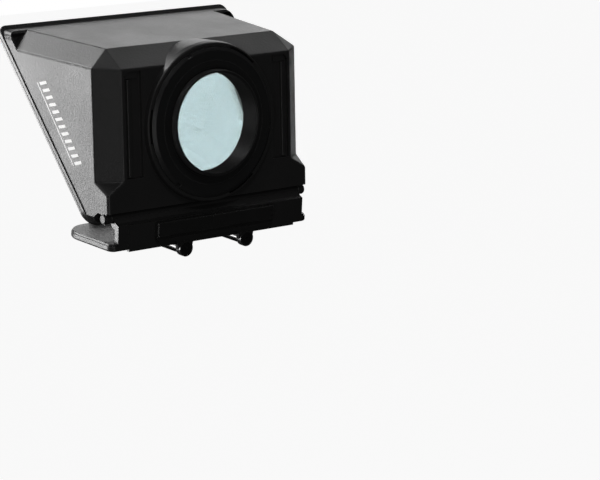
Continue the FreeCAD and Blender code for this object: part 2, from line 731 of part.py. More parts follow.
def ring_sector(body, inner, outer, centre_deg, half_deg, y0, y1, cut):
    """A sector of a ring about Y, added or cut; each arc is drawn as short chords."""
    chords = 6
    turns = [math.radians(centre_deg + half_deg * (2 * i / chords - 1)) for i in range(chords + 1)]

    def on_circle(radius, turn):
        return f"({radius})*{math.cos(turn):.6f}", f"({radius})*{math.sin(turn):.6f}"
    outline = [on_circle(inner, turn) for turn in turns]
    outline += [on_circle(outer, turn) for turn in reversed(turns)]
    height = minus(y0) if cut else minus(y1)
    sketch = new_sketch(body, "XZ_Plane", height=height, polygons=[outline])
    length = f"({y1})-({y0})"
    return pocket(body, sketch, length) if cut else pad(body, sketch, length)


def bayonet_ring():
    body = ring_about_y("bayonet_ring", hood_frame, [
        ("bayonet_in_r", "-2.6"), ("collar_bore_r - 0.05", "-2.6"),
        ("collar_bore_r - 0.05", "-0.6"), ("bayonet_in_r", "-0.6"),
    ])
    for centre in (60, 180, 300):
        ring_sector(body, "bayonet_in_r - 2", "bayonet_notch_r", centre, 15, "-3", "0", cut=True)


def adapter_ring():
    """The ring that screws on the lens; its tabs lock behind the bayonet ring."""
    body = ring_about_y("adapter_ring", hood_frame, [
        ("adapter_bore_r", "-4.4"), ("adapter_neck_r", "-4.4"),
        ("adapter_neck_r", "-0.4"), ("adapter_r", "-0.4"),
        ("adapter_r", "seat_proud - 1.2"), ("adapter_r - 1.9", "seat_proud"),
        ("thread_r", "seat_proud"), ("thread_r", "seat_proud + thread_long"),
        ("adapter_bore_r", "seat_proud + thread_long"),
    ])
    for centre in (0, 120, 240):
        ring_sector(body, "adapter_neck_r - 1.5", "adapter_tab_r", centre, 12, "-4.4", "-2.9", cut=False)
    for centre in (68, 188, 308):
        x, z = math.cos(math.radians(centre)), math.sin(math.radians(centre))
        grip = (f"(adapter_r + 0.3)*{x:.6f}", f"(adapter_r + 0.3)*{z:.6f}", "1.7")
        rods_along_y(body, [grip], "seat_proud - 1.6", "seat_proud + 1", cut=True)


def lens_seal():
    ring_about_y("lens_seal", hood_frame, [
        ("seal_r", "-8"), ("collar_bore_r - 0.05", "-8"),
        ("collar_bore_r - 0.05", "-5"), ("seal_r + 1", "-5"),
    ])


# ---- tray: shell, cover, stop wall, bracket and guide tubes ----

def tray_outline(inset):
    return rectangle(f"-tray_half + {inset}", f"tray_front + {inset}",
                     f"tray_half - {inset}", f"tray_rear - {inset}")


def round_tray_corners(body, inset):
    """Large radii at the front corners and small ones at the rear."""
    upright = runs_along(Vector(0, 0, 1))
    far = value("tray_half") - 3

    def outer_corner(edge):
        return upright(edge) and abs(edge.CenterOfMass.x) > far
    front = both_tests(outer_corner, lambda edge: edge.CenterOfMass.y < 0)
    round_edges(body, f"tray_corner - {inset}", front)
    rear = both_tests(outer_corner, lambda edge: edge.CenterOfMass.y > 0)
    round_edges(body, f"4 - {inset}", rear)


def tray_boss_spots():
    return [("-56", "-24"), ("56", "-24"), ("-58", "-2"), ("58", "-2")]


def tray_shell():
    """The lower shell with its stop wall, hinge knuckles and tube saddles."""
    body = new_body("tray_shell", tray_frame)
    sketch = new_sketch(body, height="tray_bottom", polygons=[tray_outline(0)])
    pad(body, sketch, "tray_split - tray_bottom")
    round_tray_corners(body, 0)
    round_edges(body, "1.1", lambda edge: edge.CenterOfMass.z < value("tray_bottom") + 0.01)
    floor = "tray_bottom + 1.1"
    # A hollow each side of the middle, and the jaw tongue's channel between them.
    for low, high in (("tongue_half + 2", "tray_half - 18"), ("-tray_half + 18", "-tongue_half - 2")):
        block(body, low, high, "tray_front + 4", "stop_front - 2", floor, "tray_split", cut=True)
    block(body, "-tongue_half - 0.2", "tongue_half + 0.2", "tray_front - 1", "stop_front - 1.2",
          floor, "tray_split", cut=True)
    # Stop wall, thicker in its middle, rising to the hinge.
    block(body, "-stop_half", "stop_half", "stop_front", "tray_rear", "tray_split - 1", "stop_top")
    block(body, "-block_half", "block_half", "tray_rear - 1", "block_rear", "tray_bottom - 0.7", "stop_top")
    rods_along_x(body, [("0", "0", "hinge_r")], "-barrel_half", "barrel_half")
    web = [("0.5", "-2.7"), ("1.9", "-4.6"), ("stop_front + 0.5", "-5.6"), ("tray_rear - 0.2", "stop_top"),
           ("stop_front + 0.8", "stop_top + 0.9"), ("2.2", "0.8")]
    bar_along_x(body, web, "-stop_half", "stop_half")
    rods_along_x(body, [("0", "0", "pin_r + 0.05")], "-barrel_half - 1", "barrel_half + 1", cut=True)
    # Saddles under the front edge that steady the guide tubes.
    for side in ("-1", "1"):
        centre = f"{side}*rod_x"
        block(body, f"{centre} - saddle_r", f"{centre} + saddle_r", "tray_front + 4", "tray_front + 9",
              "rod_drop", "tray_bottom + 0.5")
        rods_along_y(body, [(centre, "rod_drop", "saddle_r")], "tray_front + 4", "tray_front + 9")
    rods_along_y(body, [(x, z, "tube_r + 0.05") for x, z in rod_spots()], "tray_front + 3", "block_rear + 1",
                 cut=True)
    # Screw passages for the cover and for the bracket.
    cover_spots = tray_boss_spots()
    bracket_spots = bracket_screw_spots()
    rods_along_z(body, [(x, y, "screw_r + 0.15") for x, y in cover_spots], "tray_bottom - 1",
                 "tray_split + 1", cut=True)
    rods_along_z(body, [(x, y, "head_r + 0.15") for x, y in cover_spots], "tray_bottom - 1",
                 "tray_bottom + head_deep", cut=True)
    rods_along_y(body, [(x, z, "screw_r + 0.15") for x, z in bracket_spots], "stop_front - 1",
                 "block_rear + 1", cut=True)
    rods_along_y(body, [(x, z, "head_r + 0.15") for x, z in bracket_spots], "stop_front - 1",
                 "stop_front + 1.2", cut=True)


GRIP_LINES = ("-30", "-15")     # the rubber strips' middles, from the hinge axis


def tray_cover():
    """The flat top plate, notched around the stop wall and its foam."""
    body = new_body("tray_cover", tray_frame)
    gap = 0.15
    inset = 0.6
    outline = [
        (f"-tray_half + {inset}", f"tray_front + {inset}"),
        (f"tray_half - {inset}", f"tray_front + {inset}"),
        (f"tray_half - {inset}", f"tray_rear - {inset}"),
        (f"stop_half + {gap}", f"tray_rear - {inset}"),
        (f"stop_half + {gap}", f"stop_front - {gap}"),
        (f"stop_pad_half + {gap}", f"stop_front - {gap}"),
        (f"stop_pad_half + {gap}", f"stop_front - 1 - {gap}"),
        (f"-stop_pad_half - {gap}", f"stop_front - 1 - {gap}"),
        (f"-stop_pad_half - {gap}", f"stop_front - {gap}"),
        (f"-stop_half - {gap}", f"stop_front - {gap}"),
        (f"-stop_half - {gap}", f"tray_rear - {inset}"),
        (f"-tray_half + {inset}", f"tray_rear - {inset}"),
    ]
    sketch = new_sketch(body, height="tray_split", polygons=[outline])
    pad(body, sketch, "tray_top - tray_split")
    round_tray_corners(body, inset)
    round_edges(body, "0.35", lambda edge: edge.CenterOfMass.z > value("tray_top") - 0.01)
    for centre in GRIP_LINES:
        block(body, "-grip_half - 0.1", "grip_half + 0.1", f"{centre} - grip_wide/2 - 0.1",
              f"{centre} + grip_wide/2 + 0.1", "tray_top - 0.6", "tray_top", cut=True)
    rods_along_z(body, [(x, y, "screw_r + 0.02") for x, y in tray_boss_spots()], "tray_split",
                 "tray_top - 0.4", cut=True)


def phone_pads():
    """Two rubber strips let into the cover."""
    body = new_body("phone_pads", tray_frame)
    for centre in GRIP_LINES:
        block(body, "-grip_half", "grip_half", f"{centre} - grip_wide/2", f"{centre} + grip_wide/2",
              "tray_top - 0.6", "tray_top + 0.3")
    round_edges(body, "0.25", lambda edge: edge.CenterOfMass.z > value("tray_top") + 0.29)


def stop_pad():
    """The foam strip on the stop wall, over the bracket screws."""
    body = new_body("stop_pad", tray_frame)
    block(body, "-stop_pad_half", "stop_pad_half", "stop_front - 1", "stop_front", "tray_split + 0.1", "-5.8")
    round_edges(body, "0.3", lambda edge: edge.CenterOfMass.y < value("stop_front") - 0.99)


def rod_spots():
    return [("-rod_x", "rod_drop"), ("rod_x", "rod_drop")]


def bracket_screw_spots():
    return [(x, "bracket_screw_z") for x in ("-33", "-11", "11", "33")]


def rod_bracket():
    """The stepped bar behind the stop wall, with a lug for each guide tube."""
    body = new_body("rod_bracket", tray_frame)
    block(body, "-bracket_half", "bracket_half", "block_rear", "bracket_rear - 1.2",
          "bracket_low", "bracket_top")
    low_corners = both_tests(runs_along(Vector(0, 1, 0)), lambda edge: edge.CenterOfMass.z < -10)
    round_edges(body, "2.2", low_corners, kind="Chamfer")
    block(body, "-bracket_half", "bracket_half", "bracket_rear - 1.7", "bracket_rear",
          "bracket_step", "bracket_top")
    round_edges(body, "0.5", lambda edge: edge.CenterOfMass.y > value("bracket_rear") - 0.01, kind="Chamfer")
    for side in ("-1", "1"):
        centre = f"{side}*rod_x"
        lug = [
            (f"{centre} - 9", "bracket_low + 0.4"),
            (f"{centre} - 5.6", "bracket_low - 1"),
            (f"{centre} - lug_r", "rod_drop"),
            (f"{centre} + lug_r", "rod_drop"),
            (f"{centre} + 5.6", "bracket_low - 1"),
            (f"{centre} + 9", "bracket_low + 0.4"),
            (f"{centre} + 9", "bracket_low + 1.6"),
            (f"{centre} - 9", "bracket_low + 1.6"),
        ]
        sketch = new_sketch(body, "XZ_Plane", height="-(bracket_rear - 0.6)", polygons=[lug])
        pad(body, sketch, "bracket_rear - 0.6 - block_rear - 0.1")
        rods_along_y(body, [(centre, "rod_drop", "lug_r")], "block_rear + 0.1", "bracket_rear + 0.4")
    rods_along_y(body, [(x, z, "tube_r + 0.05") for x, z in rod_spots()], "block_rear - 1",
                 "bracket_rear + 1", cut=True)
    rods_along_y(body, [(x, z, "screw_r + 0.02") for x, z in bracket_screw_spots()], "block_rear - 1",
                 "bracket_rear - 1.3", cut=True)


def bracket_screws():
    body = new_body("bracket_screws", tray_frame)
    spots = bracket_screw_spots()
    rods_along_y(body, [(x, z, "head_r") for x, z in spots], "stop_front + 0.1", "stop_front + 1.2")
    rods_along_y(body, [(x, z, "screw_r") for x, z in spots], "stop_front + 1.2", "bracket_rear - 1.4")


def tray_screws():
    small_screws("tray_screws", tray_frame, tray_boss_spots(),
                 "tray_bottom + 0.1", "tray_bottom + head_deep", "tray_top - 0.5")


def guide_tube(label, side):
    body = new_body(label, tray_frame)
    rods_along_y(body, [(f"{side}*rod_x", "rod_drop", "tube_r")], "tray_front + 3.2", "bracket_rear - 1.0")
    rods_along_y(body, [(f"{side}*rod_x", "rod_drop", "tube_bore_r")], "tray_front + 3", "bracket_rear",
                 cut=True)


def tube_screws():
    """Screws that close the rear ends of the guide tubes."""
    body = new_body("tube_screws", tray_frame)
    spots = rod_spots()
    rods_along_y(body, [(x, z, "tube_r - 0.1") for x, z in spots], "bracket_rear - 0.95", "bracket_rear + 0.1")
    rods_along_y(body, [(x, z, "tube_bore_r - 0.03") for x, z in spots], "bracket_rear - 4",
                 "bracket_rear - 0.95")
    rods_along_y(body, [(x, z, "0.9") for x, z in spots], "bracket_rear - 0.4", "bracket_rear + 0.2",
                 cut=True)


def hinge_pins():
    """Pins pressed in from the sides, with round heads that cover the ears' ends."""
    body = new_body("hinge_pins", hood_frame)
    for low, high in (("pin_in", "ear_out"), ("-ear_out", "-pin_in")):
        rods_along_x(body, [("hinge_y", "hinge_z", "pin_r")], low, high)
    for low, high in (("ear_out", "ear_out + pin_head"), ("-ear_out - pin_head", "-ear_out")):
        rods_along_x(body, [("hinge_y", "hinge_z", "hinge_r")], low, high)
    outer_end = value("ear_out + pin_head") - 0.01
    round_edges(body, "pin_head - 0.1", lambda edge: abs(edge.CenterOfMass.x) > outer_end)


def hinge_washers():
    body = new_body("hinge_washers", hood_frame)
    gap = 0.08
    for low, high in ((f"barrel_half + {gap}", f"ear_in - {gap}"),
                      (f"-ear_in + {gap}", f"-barrel_half - {gap}")):
        rods_along_x(body, [("hinge_y", "hinge_z", "hinge_r")], low, high)
    rods_along_x(body, [("hinge_y", "hinge_z", "pin_r + 0.03")], "-ear_in", "ear_in", cut=True)


# ---- jaw: the clamp that slides out over the tray's front edge ----

def jaw_bar():
    body = new_body("jaw_bar", tray_frame)
    block(body, "-jaw_half", "jaw_half", "jaw_front", "jaw_back", "jaw_bottom", "jaw_top")
    round_edges(body, "4", runs_along(Vector(0, 1, 0)))
    round_edges(body, "0.8", lambda edge: edge.CenterOfMass.y < value("jaw_front") + 0.01)
    block(body, "-tongue_half - 0.03", "tongue_half + 0.03", "jaw_back - 2.2", "jaw_back + 1",
          "tray_bottom + 1.27", "tray_split - 0.27", cut=True)
    spots = rod_spots()
    rods_along_y(body, [(x, z, "rod_r + 0.02") for x, z in spots], "jaw_back - 2.6", "jaw_back + 1", cut=True)
    rods_along_y(body, [(x, z, "screw_r + 0.15") for x, z in spots], "jaw_front - 1", "jaw_back", cut=True)
    rods_along_y(body, [(x, z, "head_r + 0.15") for x, z in spots], "jaw_front - 1", "jaw_front + head_deep",
                 cut=True)


def jaw_tongue():
    body = new_body("jaw_tongue", tray_frame)
    block(body, "-tongue_half", "tongue_half", "jaw_back - 2.1", "stop_front - 1.8",
          "tray_bottom + 1.3", "tray_split - 0.3")
    round_edges(body, "3", both_tests(runs_along(Vector(0, 0, 1)), lambda edge: edge.CenterOfMass.y > 0))


def jaw_pad():
    body = new_body("jaw_pad", tray_frame)
    block(body, "-jaw_pad_half", "jaw_pad_half", "jaw_back", "jaw_back + 1",
          "tray_top + 0.4", "jaw_top - 1.2")
    round_edges(body, "0.3", lambda edge: edge.CenterOfMass.y > value("jaw_back") + 0.99)


def slide_rod(label, side):
    body = new_body(label, tray_frame)
    rods_along_y(body, [(f"{side}*rod_x", "rod_drop", "rod_r")], "jaw_back - 2.5", "5")
    rods_along_y(body, [(f"{side}*rod_x", "rod_drop", "rod_bore_r")], "jaw_back - 3", "6", cut=True)


def jaw_screws():
    body = new_body("jaw_screws", tray_frame)
    spots = rod_spots()
    rods_along_y(body, [(x, z, "head_r") for x, z in spots], "jaw_front + 0.1", "jaw_front + head_deep")
    rods_along_y(body, [(x, z, "screw_r") for x, z in spots], "jaw_front + head_deep", "jaw_back + 1")
    rods_along_y(body, [(x, z, "0.8") for x, z in spots], "jaw_front", "jaw_front + 0.6", cut=True)


def return_springs():
    """Tension springs inside the hollow slide rods, wound along the rods."""
    wire = 0.18
    coil = 0.95
    turns = 22
    start = value("jaw_back") + 1.3
    end = 2.0
    length = end - start
    parts = []
    for side in (-1, 1):
        path = Part.makeHelix(length / turns, length, coil)
        section = Part.Wire(Part.makeCircle(wire, Vector(coil, 0, 0), Vector(0, 1, 0)))
        spring = Part.Wire(path.Edges).makePipeShell([section], True, True)
        spring.rotate(Vector(0, 0, 0), Vector(1, 0, 0), -90)
        spring.translate(Vector(side * value("rod_x"), start, value("rod_drop")))
        parts.append(spring)
    feature = doc.addObject("Part::Feature", "ReturnSprings")
    feature.Label = "return_springs"
    feature.Shape = Part.makeCompound(parts)
    feature.Placement = tray_frame
    nodes.append(feature)


# ---- build and write ----

def check_document():
    for item in doc.Objects:
        if "Invalid" in item.State or "Error" in item.State:
            raise RuntimeError(f"{item.Name} ({item.Label}) failed: {item.State}")
    for node in nodes:
        if node.Shape.isNull() or not node.Shape.isValid():
            raise RuntimeError(f"{node.Label}: no valid shape")
        if not node.Shape.Solids:
            raise RuntimeError(f"{node.Label}: no solid")


hood_shell()
front_bezel()
beam_splitter_glass()
glass_gasket()
bezel_screws()
bayonet_ring()
adapter_ring()
lens_seal()
hinge_pins()
hinge_washers()
tray_shell()
tray_cover()
tray_screws()
phone_pads()
stop_pad()
rod_bracket()
bracket_screws()
guide_tube("guide_tube_left", "1")
guide_tube("guide_tube_right", "-1")
tube_screws()
jaw_bar()
jaw_tongue()
jaw_pad()
slide_rod("slide_rod_left", "1")
slide_rod("slide_rod_right", "-1")
jaw_screws()
return_springs()

doc.recompute()
check_document()
os.makedirs("parts", exist_ok=True)
for node in nodes:
    node.Shape.exportStep(f"parts/{node.Label}.step")
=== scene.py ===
"""Looks of the phone teleprompter: materials, soft pads, turned lens ring, floor, light and camera."""
import json
import math

import bmesh
import bpy
from mathutils import Matrix, Vector


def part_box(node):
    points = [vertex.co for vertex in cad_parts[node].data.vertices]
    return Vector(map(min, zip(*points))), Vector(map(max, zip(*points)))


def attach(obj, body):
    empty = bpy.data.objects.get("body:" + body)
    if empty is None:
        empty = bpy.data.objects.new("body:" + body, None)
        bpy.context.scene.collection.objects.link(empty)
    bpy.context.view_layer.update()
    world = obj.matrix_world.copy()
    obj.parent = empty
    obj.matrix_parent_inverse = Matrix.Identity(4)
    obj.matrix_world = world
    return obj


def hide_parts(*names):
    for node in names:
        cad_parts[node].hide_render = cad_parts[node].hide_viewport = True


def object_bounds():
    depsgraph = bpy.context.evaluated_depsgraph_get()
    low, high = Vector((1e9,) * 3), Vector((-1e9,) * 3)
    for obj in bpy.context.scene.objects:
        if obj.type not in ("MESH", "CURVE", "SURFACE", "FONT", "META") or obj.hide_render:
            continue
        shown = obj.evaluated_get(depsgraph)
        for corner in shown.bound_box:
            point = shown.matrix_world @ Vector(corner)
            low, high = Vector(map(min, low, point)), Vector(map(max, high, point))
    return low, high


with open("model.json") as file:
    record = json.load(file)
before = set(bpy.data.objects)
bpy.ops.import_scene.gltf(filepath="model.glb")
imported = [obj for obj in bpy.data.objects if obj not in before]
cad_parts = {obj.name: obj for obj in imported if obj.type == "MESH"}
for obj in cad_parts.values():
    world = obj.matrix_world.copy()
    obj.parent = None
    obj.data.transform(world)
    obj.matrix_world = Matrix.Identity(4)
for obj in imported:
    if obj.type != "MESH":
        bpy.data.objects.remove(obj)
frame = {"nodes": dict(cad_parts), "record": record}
CAD_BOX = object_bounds()


# ---- node helpers ----

class Shader:
    """A node tree under construction, with short calls for the nodes used here."""

    def __init__(self, name):
        self.material = bpy.data.materials.new(name)
        self.material.use_nodes = True
        self.tree = self.material.node_tree
        self.tree.nodes.clear()
        self.output = self.node("ShaderNodeOutputMaterial")
        self.place = self.node("ShaderNodeTexCoord").outputs["Object"]

    def node(self, kind, **settings):
        made = self.tree.nodes.new(kind)
        for key, value in settings.items():
            setattr(made, key, value)
        return made

    def put(self, target, value):
        """Links an output into a socket, or sets a plain value on it."""
        if isinstance(value, bpy.types.NodeSocket):
            self.tree.links.new(value, target)
        else:
            target.default_value = value

    def noise(self, scale, detail=2.0, roughness=0.5, stretch=None):
        """Fractal noise in the object's space, with about this many lumps to a metre."""
        made = self.node("ShaderNodeTexNoise")
        place = self.place
        if stretch is not None:
            mapping = self.node("ShaderNodeMapping")
            mapping.inputs["Scale"].default_value = stretch
            self.put(mapping.inputs["Vector"], place)
            place = mapping.outputs["Vector"]
        self.put(made.inputs["Vector"], place)
        made.inputs["Scale"].default_value = scale
        made.inputs["Detail"].default_value = detail
        made.inputs["Roughness"].default_value = roughness
        return made.outputs["Fac"]

    def cells(self, scale):
        """The distance to the nearest cell's centre."""
        made = self.node("ShaderNodeTexVoronoi")
        self.put(made.inputs["Vector"], self.place)
        made.inputs["Scale"].default_value = scale
        return made.outputs["Distance"]

    def remap(self, value, low, high, to_low=0.0, to_high=1.0):
        """Stretches one range onto another, and holds it at the ends."""
        made = self.node("ShaderNodeMapRange")
        self.put(made.inputs["Value"], value)
        made.inputs["From Min"].default_value = low
        made.inputs["From Max"].default_value = high
        made.inputs["To Min"].default_value = to_low
        made.inputs["To Max"].default_value = to_high
        return made.outputs["Result"]

    def math(self, operation, a, b=0.0):
        made = self.node("ShaderNodeMath", operation=operation)
        self.put(made.inputs[0], a)
        self.put(made.inputs[1], b)
        return made.outputs[0]

    def mix(self, factor, a, b):
        """Blends two colours; sockets 6, 7 and 2 are the node's colour ones."""
        made = self.node("ShaderNodeMix", data_type="RGBA")
        self.put(made.inputs[0], factor)
        self.put(made.inputs[6], a)
        self.put(made.inputs[7], b)
        return made.outputs[2]

    def bump(self, height, distance, normal=None):
        """A normal tilted by a height field that is this many metres deep."""
        made = self.node("ShaderNodeBump")
        made.inputs["Strength"].default_value = 1.0
        made.inputs["Distance"].default_value = distance
        self.put(made.inputs["Height"], height)
        if normal is not None:
            self.put(made.inputs["Normal"], normal)
        return made.outputs["Normal"]

    def edges(self, radius, low, high):
        """1 along sharp or rounded edges, 0 on flat faces."""
        soft = self.node("ShaderNodeBevel", samples=6)
        soft.inputs["Radius"].default_value = radius
        true = self.node("ShaderNodeNewGeometry")
        dot = self.node("ShaderNodeVectorMath", operation="DOT_PRODUCT")
        self.put(dot.inputs[0], soft.outputs["Normal"])
        self.put(dot.inputs[1], true.outputs["Normal"])
        return self.remap(dot.outputs["Value"], 1.0 - low, 1.0 - high)

    def surface(self, colour, roughness, normal=None, metallic=0.0, specular=0.5, sheen=0.0):
        """Closes the tree with one opaque surface and returns the material."""
        made = self.node("ShaderNodeBsdfPrincipled")
        self.put(made.inputs["Base Color"], colour)
        self.put(made.inputs["Roughness"], roughness)
        self.put(made.inputs["Metallic"], metallic)
        self.put(made.inputs["Specular IOR Level"], specular)
        self.put(made.inputs["Sheen Weight"], sheen)
        if normal is not None:
            self.put(made.inputs["Normal"], normal)
        self.put(self.output.inputs["Surface"], made.outputs["BSDF"])
        return self.material


def grey(value, warm=0.0):
    """A grey of a given brightness, a little warmer or cooler."""
    return (value * (1 + warm), value, value * (1 - warm), 1.0)


# ---- materials ----

def moulded_plastic(name, tone, gloss, grain_height=0.000032):
    """Spark-eroded black ABS: fine grain, faint flow marks, edges lightened in colour as both rubbed wear and
    a painted edge highlight, and a little dust.
    """
    grain, wear = 2600.0, 0.6
    s = Shader(name)
    patches = s.noise(38.0, detail=5.0, roughness=0.62)
    fine = s.noise(grain, detail=2.0, roughness=0.6)
    coarse = s.noise(grain * 0.28, detail=1.0)
    dust = s.remap(s.noise(900.0, detail=4.0, roughness=0.75), 0.63, 0.80)
    colour = s.mix(patches, grey(tone * 0.88, -0.01), grey(tone * 1.12, 0.012))
    colour = s.mix(s.math("MULTIPLY", dust, 0.10), colour, grey(0.30, 0.02))
    uneven = s.remap(s.noise(160.0, detail=3.0), 0.35, 0.65, 0.35, 1.0)
    # painted highlight: edges lightened towards grey 0.25, partly rubbed wear and partly a painted edge
    # highlight; wear sets its strength
    rubbed_and_highlit = s.math("MULTIPLY", s.edges(0.0007, 0.02, 0.25), uneven)
    colour = s.mix(s.math("MULTIPLY", rubbed_and_highlit, 0.22 * wear), colour, grey(0.25))
    rough = s.remap(patches, 0.3, 0.7, gloss - 0.035, gloss + 0.035)
    rough = s.math("SUBTRACT", rough, s.math("MULTIPLY", rubbed_and_highlit, 0.16 * wear))
    normal = s.bump(coarse, grain_height * 2.2)
    normal = s.bump(fine, grain_height, normal)
    return s.surface(colour, rough, normal)


def glossy_plastic(name, tone):
    """Smooth moulded plastic with fine handling scratches and finger smudges."""
    s = Shader(name)
    smudge = s.noise(60.0, detail=4.0, roughness=0.65)
    scratches = s.remap(s.noise(500.0, detail=2.0, stretch=(0.05, 1.0, 1.0)), 0.60, 0.72)
    colour = s.mix(smudge, grey(tone * 0.85), grey(tone * 1.2, 0.01))
    # edges lightened a little towards grey 0.3: rubbed wear and a painted edge highlight
    rubbed_and_highlit = s.edges(0.0006, 0.02, 0.25)
    colour = s.mix(s.math("MULTIPLY", rubbed_and_highlit, 0.05), colour, grey(0.3))
    rough = s.remap(smudge, 0.3, 0.7, 0.24, 0.32)
    rough = s.math("ADD", rough, s.math("MULTIPLY", scratches, 0.08))
    normal = s.bump(s.noise(300.0, detail=1.0), 0.000002)
    return s.surface(colour, rough, normal, specular=0.55)


def anodised(name, tone):
    """Black anodised aluminium, turned: fine rings about the lens axis."""
    s = Shader(name)
    axis = s.node("ShaderNodeSeparateXYZ")
    s.put(axis.inputs[0], s.place)
    across = s.math("MULTIPLY", axis.outputs[0], axis.outputs[0])
    up = s.math("MULTIPLY", axis.outputs[2], axis.outputs[2])
    radius = s.math("SQRT", s.math("ADD", across, up))
    rings = s.node("ShaderNodeTexNoise", noise_dimensions="1D")
    s.put(rings.inputs["W"], radius)
    rings.inputs["Scale"].default_value = 5200.0
    rings.inputs["Detail"].default_value = 2.0
    patches = s.noise(70.0, detail=3.0)
    colour = s.mix(patches, grey(tone * 0.85, -0.02), grey(tone * 1.15, -0.01))
    # edges lightened towards grey 0.35: rubbed wear and a painted edge highlight
    rubbed_and_highlit = s.edges(0.0004, 0.03, 0.3)
    colour = s.mix(s.math("MULTIPLY", rubbed_and_highlit, 0.35), colour, grey(0.35))
    rough = s.remap(rings.outputs["Fac"], 0.3, 0.7, 0.30, 0.40)
    normal = s.bump(rings.outputs["Fac"], 0.000012)
    normal = s.bump(s.noise(5200.0), 0.000004, normal)
    return s.surface(colour, rough, normal, metallic=0.35, specular=0.6)


def bright_metal(name, tone, gloss, stretch, blacken=0.0):
    """Drawn or plated metal, with grain along its length and dulled patches."""
    s = Shader(name)
    grain = s.noise(2600.0, detail=3.0, stretch=stretch)
    patches = s.noise(240.0, detail=4.0, roughness=0.7)
    colour = s.mix(patches, grey(tone * 0.82, 0.01), grey(tone * 1.08, 0.005))
    if blacken:
        bare = s.math("MULTIPLY", s.edges(0.0003, 0.03, 0.3), s.remap(patches, 0.4, 0.6))
        colour = s.mix(s.math("SUBTRACT", 1.0, s.math("MULTIPLY", bare, 0.5)), grey(0.4), grey(blacken))
    rough = s.remap(grain, 0.3, 0.7, gloss - 0.05, gloss + 0.07)
    rough = s.math("ADD", rough, s.remap(patches, 0.45, 0.75, 0.0, 0.10))
    return s.surface(colour, rough, s.bump(grain, 0.000008), metallic=1.0 if not blacken else 0.6)


def foam(name, tone):
    """Closed-cell foam with open skin pores."""
    s = Shader(name)
    pores = s.cells(3200.0)
    lumps = s.noise(420.0, detail=3.0)
    # painted shade: the pore hollows are coloured darker than the skin between them
    colour = s.mix(s.remap(pores, 0.1, 0.6), grey(tone * 0.45), grey(tone * 1.35, 0.01))
    colour = s.mix(s.math("MULTIPLY", lumps, 0.25), colour, grey(tone * 1.8))
    normal = s.bump(pores, 0.00012)
    normal = s.bump(lumps, 0.00008, normal)
    return s.surface(colour, s.remap(lumps, 0.3, 0.7, 0.86, 0.98), normal, specular=0.25, sheen=0.15)


def rubber(name, tone):
    """Matt rubber with a talc bloom in its hollows."""
    s = Shader(name)
    lumps = s.noise(300.0, detail=4.0, roughness=0.6)
    fine = s.noise(3000.0, detail=2.0)
    bloom = s.remap(lumps, 0.52, 0.75)
    colour = s.mix(s.math("MULTIPLY", bloom, 0.25), grey(tone, 0.01), grey(tone * 3.2))
    normal = s.bump(fine, 0.000025)
    normal = s.bump(lumps, 0.00004, normal)
    return s.surface(colour, s.remap(lumps, 0.3, 0.7, 0.62, 0.80), normal, specular=0.35)


def beam_splitter(name):
    """Half-mirror glass: part see-through, part mirror, with a thin coloured coating and dust."""
    s = Shader(name)
    patches = s.noise(55.0, detail=4.0, roughness=0.7)
    facing = s.node("ShaderNodeLayerWeight")
    facing.inputs["Blend"].default_value = 0.35
    clear = s.node("ShaderNodeBsdfTransparent")
    clear.inputs["Color"].default_value = (0.80, 0.86, 0.84, 1.0)
    mirror = s.node("ShaderNodeBsdfGlossy")
    cool, warm = (0.86, 0.93, 0.98, 1.0), (0.98, 0.90, 0.84, 1.0)
    s.put(mirror.inputs["Color"], s.mix(facing.outputs["Facing"], cool, warm))
    s.put(mirror.inputs["Roughness"], s.remap(patches, 0.45, 0.85, 0.008, 0.022))
    blend = s.node("ShaderNodeMixShader")
    s.put(blend.inputs[0], s.remap(facing.outputs["Fresnel"], 0.0, 0.6, 0.30, 0.85))
    s.put(blend.inputs[1], clear.outputs[0])
    s.put(blend.inputs[2], mirror.outputs[0])
    dust = s.node("ShaderNodeBsdfDiffuse")
    dust.inputs["Color"].default_value = grey(0.6)
    whole = s.node("ShaderNodeMixShader")
    specks = s.remap(s.noise(1600.0, detail=3.0, roughness=0.8), 0.74, 0.84, 0.0, 0.04)
    s.put(whole.inputs[0], s.math("ADD", specks, 0.004))
    s.put(whole.inputs[1], blend.outputs[0])
    s.put(whole.inputs[2], dust.outputs[0])
    s.put(s.output.inputs["Surface"], whole.outputs[0])
    return s.material


def printed_ink(name):
    """White pad-printed ink, a little worn."""
    s = Shader(name)
    wear = s.remap(s.noise(1400.0, detail=4.0, roughness=0.7), 0.60, 0.72)
    colour = s.mix(wear, grey(0.86, 0.01), grey(0.55))
    return s.surface(colour, s.remap(wear, 0.0, 1.0, 0.42, 0.6), s.bump(s.noise(2600.0), 0.00001))


# slot: maker and its values
RECIPES = {
    "hood_black": (moulded_plastic, 0.030, 0.38),
    "bezel_black": (moulded_plastic, 0.026, 0.34, 0.000012),
    "tray_black": (moulded_plastic, 0.028, 0.38),
    "bracket_black": (glossy_plastic, 0.022),
    "anodised_black": (anodised, 0.030),
    "steel_bright": (bright_metal, 0.42, 0.20, (1.0, 0.05, 1.0)),
    "steel_brushed": (bright_metal, 0.60, 0.30, (0.08, 1.0, 1.0)),
    "steel_black": (bright_metal, 0.05, 0.36, (1.0, 1.0, 1.0), 0.025),
    "foam_black": (foam, 0.030),
    "rubber_black": (rubber, 0.022),
    "glass_clear": (beam_splitter,),
}
MATERIALS = {slot: make(slot, *values) for slot, (make, *values) in RECIPES.items()}
INK = printed_ink("printed_ink")


def slot_of(node):
    """The record's material slot of a CAD node."""
    for entry in frame["record"]["subparts"]:
        if entry["node"] == node:
            return entry["material_slot"]
    return "hood_black"


def dress(obj, material):
    """Gives an object one material in place of all it has."""
    obj.data.materials.clear()
    obj.data.materials.append(material)


